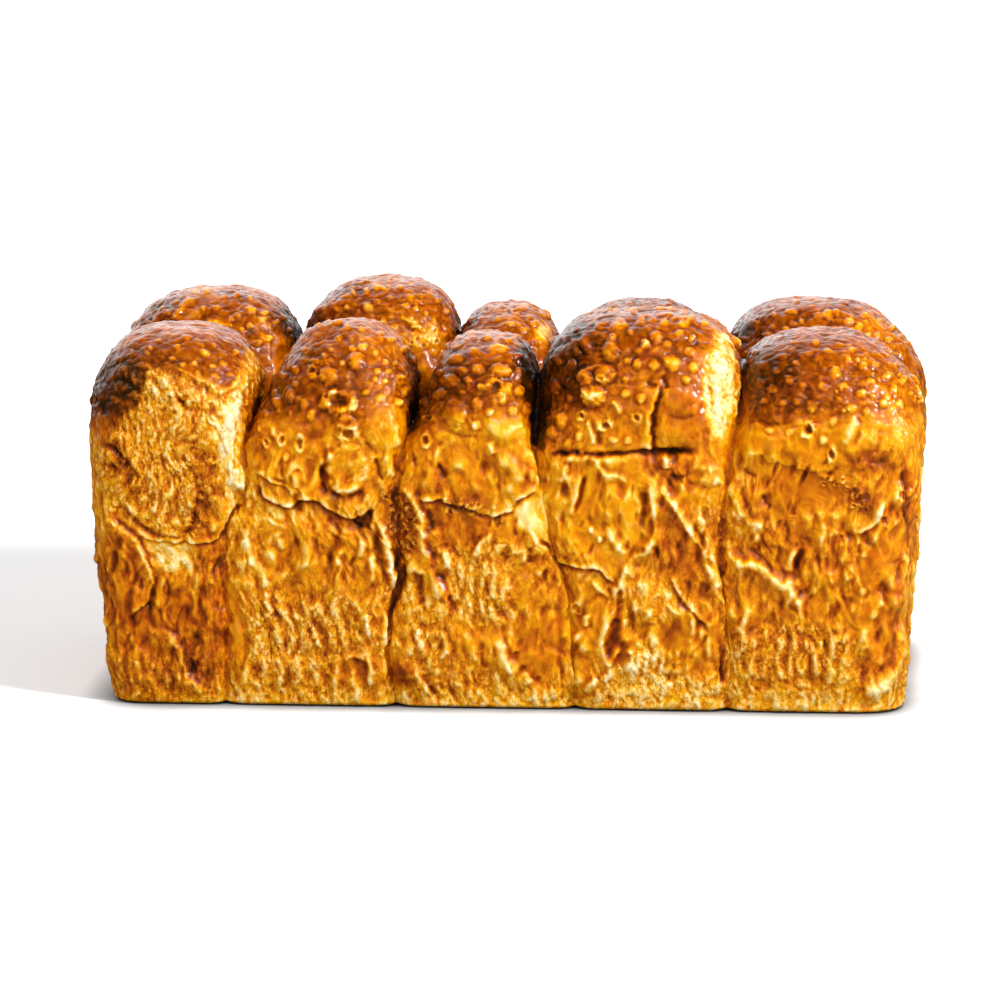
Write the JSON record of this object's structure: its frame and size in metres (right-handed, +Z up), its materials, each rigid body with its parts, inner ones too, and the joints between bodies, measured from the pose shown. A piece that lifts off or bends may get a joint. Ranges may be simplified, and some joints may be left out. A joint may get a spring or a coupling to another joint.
{
  "type": "brioche loaf",
  "caption": "Long tin-baked brioche loaf: two rows of dough balls grown together, straight tapered sides with seams, round browned domes above the rim",
  "frame": {"origin": "centre of the loaf's flat base, where it rests", "axes": "+X along the loaf, to the right as seen from the front; -Y is the front; +Z is up, through the domes"},
  "size_m": [0.2986, 0.1271, 0.1416],
  "materials": {
    "crust": "egg-washed baked crust, golden brown sides and mahogany domes, semi-gloss"
  },
  "bodies": {
    "root": {"loaf": "crust"}
  },
  "joints": []
}
